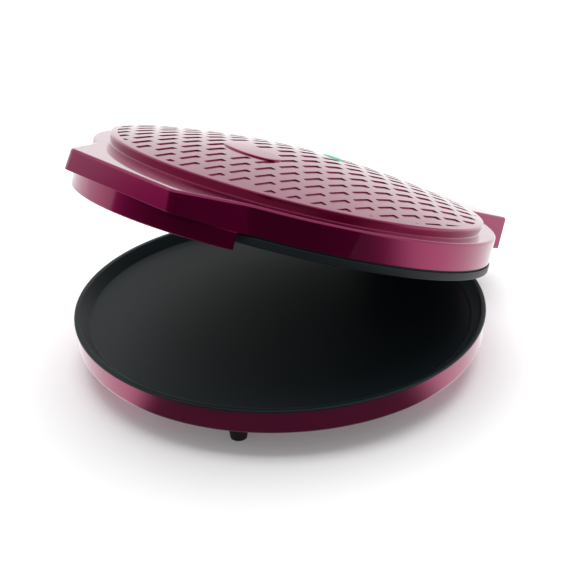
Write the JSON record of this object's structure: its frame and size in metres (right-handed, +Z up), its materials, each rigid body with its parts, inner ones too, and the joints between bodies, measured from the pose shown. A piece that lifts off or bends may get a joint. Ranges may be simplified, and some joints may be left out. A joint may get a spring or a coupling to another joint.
{
  "type": "electric pizza maker",
  "caption": "Round countertop electric pizza maker with a hinged domed lid, a shallow non-stick pan, a black upper heating plate, a wide front handle and rubber feet.",
  "frame": {"origin": "On the floor, at the centre of the footprint of the whole cooker with its lid open as at rest.", "axes": "+X is to the user's right, +Y runs from the handle at the front to the hinge at the back, +Z is up."},
  "size_m": [0.3272, 0.3763, 0.2088],
  "materials": {
    "shell_plastic": "glossy deep burgundy moulded plastic",
    "badge_plastic": "glossy burgundy plastic, left bare",
    "lens_plastic": "translucent green plastic",
    "coated_plate": "cast aluminium with a dark non-stick coating",
    "element_steel": "dull steel heating tube",
    "shield_steel": "bright aluminised steel sheet",
    "screw_steel": "zinc-plated steel",
    "pin_steel": "turned steel",
    "bracket_metal": "black painted steel",
    "foot_rubber": "dark rubber",
    "dark_plastic": "black heat-resistant plastic",
    "lamp_glass": "clear glass",
    "ceramic": "glazed white insulator",
    "fuse_metal": "bare metal can"
  },
  "bodies": {
    "base": {"base_cover": "dark_plastic", "base_shell": "shell_plastic", "cord_gland": "dark_plastic", "cover_screw_1": "screw_steel", "cover_screw_2": "screw_steel", "cover_screw_3": "screw_steel", "cover_screw_4": "screw_steel", "foot_front_left": "foot_rubber", "foot_front_right": "foot_rubber", "foot_rear_left": "foot_rubber", "foot_rear_right": "foot_rubber", "hinge_bracket": "bracket_metal", "hinge_pin_left": "pin_steel", "hinge_pin_right": "pin_steel", "lower_element": "element_steel", "lower_heat_shield": "shield_steel", "lower_plate": "coated_plate", "pan_screw_1": "screw_steel", "pan_screw_2": "screw_steel", "pan_screw_3": "screw_steel", "pan_screw_4": "screw_steel", "terminal_block": "ceramic", "thermal_fuse": "fuse_metal", "thermostat": "fuse_metal"},
    "lid": {"badge_plate": "badge_plastic", "ear_screw_left": "screw_steel", "ear_screw_right": "screw_steel", "handle_lip": "shell_plastic", "hinge_ears": "bracket_metal", "indicator_lamp": "lamp_glass", "indicator_lens": "lens_plastic", "lamp_holder": "dark_plastic", "lid_dome": "shell_plastic", "lid_shell": "shell_plastic", "lip_screw_left": "screw_steel", "lip_screw_right": "screw_steel", "shield_screw_1": "screw_steel", "shield_screw_2": "screw_steel", "shield_screw_3": "screw_steel", "shield_screw_4": "screw_steel", "upper_element": "element_steel", "upper_heat_shield": "shield_steel", "upper_plate": "coated_plate", "upper_plate_screw_1": "screw_steel", "upper_plate_screw_2": "screw_steel", "upper_plate_screw_3": "screw_steel", "upper_plate_screw_4": "screw_steel", "upper_thermal_fuse": "fuse_metal", "wire_grommet": "dark_plastic"}
  },
  "joints": [
    {"name": "lid_hinge", "type": "hinge", "parent": "base", "child": "lid", "pos_m": [0, 0.15944, 0.051], "axis": [-1, 0, 0], "range_deg": [-22, 68]}
  ]
}
